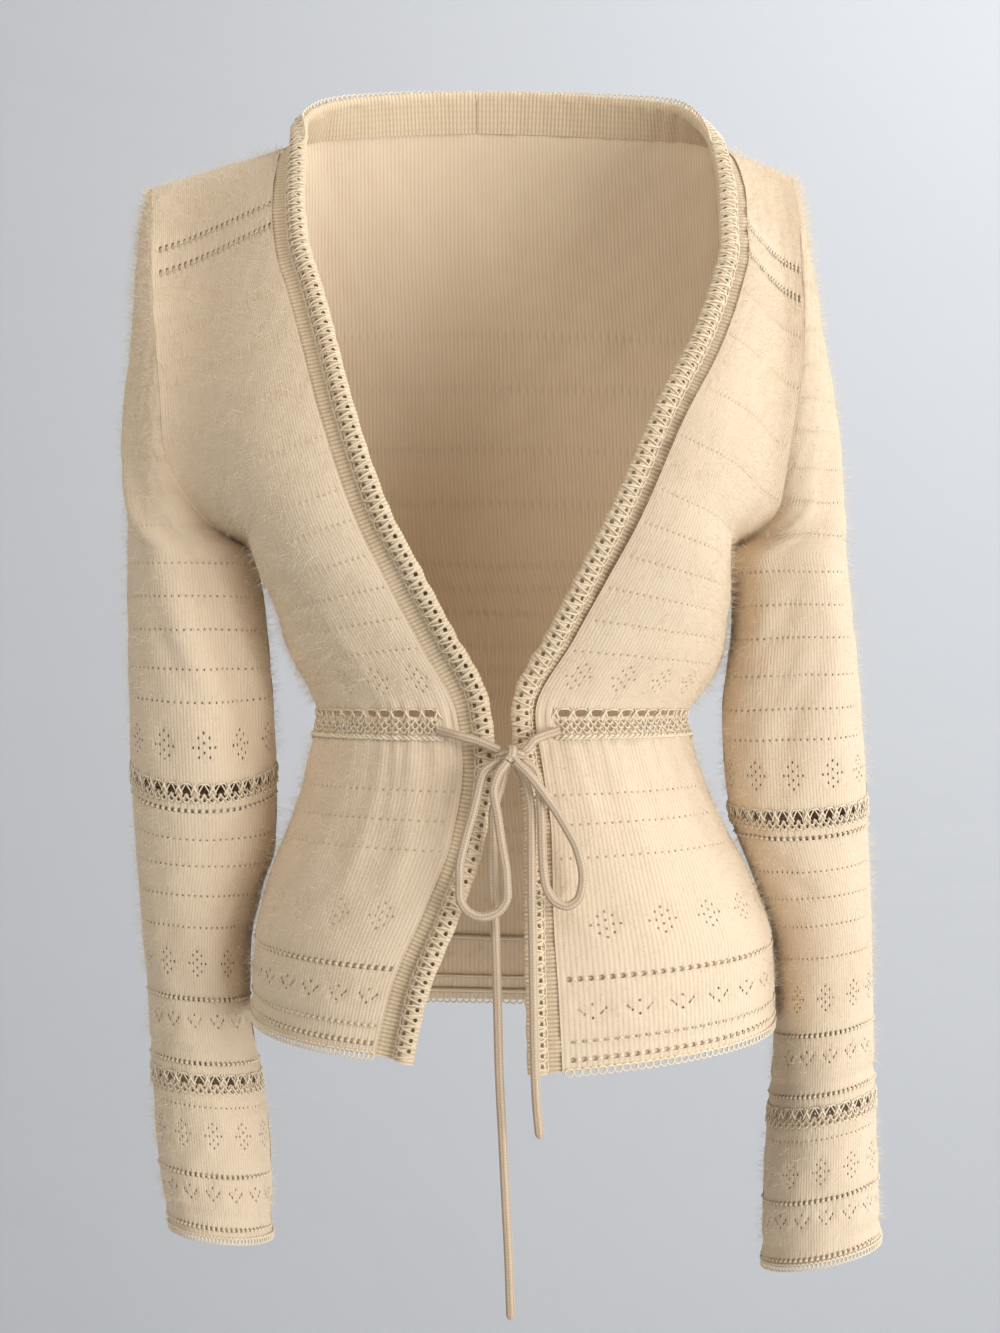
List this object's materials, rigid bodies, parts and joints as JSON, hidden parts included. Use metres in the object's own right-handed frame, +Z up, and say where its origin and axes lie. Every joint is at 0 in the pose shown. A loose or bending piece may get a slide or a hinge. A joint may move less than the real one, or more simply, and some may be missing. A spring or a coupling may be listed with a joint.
{
  "type": "tie-front cardigan",
  "caption": "Hollow knitted cardigan in its worn form, with long sleeves, a deep V neck with a rolled band, openwork rows and a drawstring bow at the waist.",
  "frame": {"origin": "between the two shoulder seams, level with their neck ends, where a wearer's shoulders hold it", "axes": "+Z up, the front faces -Y, +X towards the wearer's left"},
  "size_m": [0.453, 0.2256, 0.7232],
  "materials": {
    "knit": "fuzzy fine knit",
    "band_knit": "ribbed knit with a rolled edge",
    "tie_cord": "flat knitted cord"
  },
  "bodies": {
    "root": {"front_right": "knit", "front_left": "knit", "back": "knit", "sleeve_right_front": "knit", "sleeve_right_back": "knit", "sleeve_left_front": "knit", "sleeve_left_back": "knit", "band_right": "band_knit", "band_left": "band_knit", "tie_lead_right": "tie_cord", "tie_lead_left": "tie_cord", "tie_knot": "tie_cord", "tie_loop_right": "tie_cord", "tie_loop_left": "tie_cord", "tie_end_right": "tie_cord", "tie_end_left": "tie_cord"}
  },
  "joints": []
}
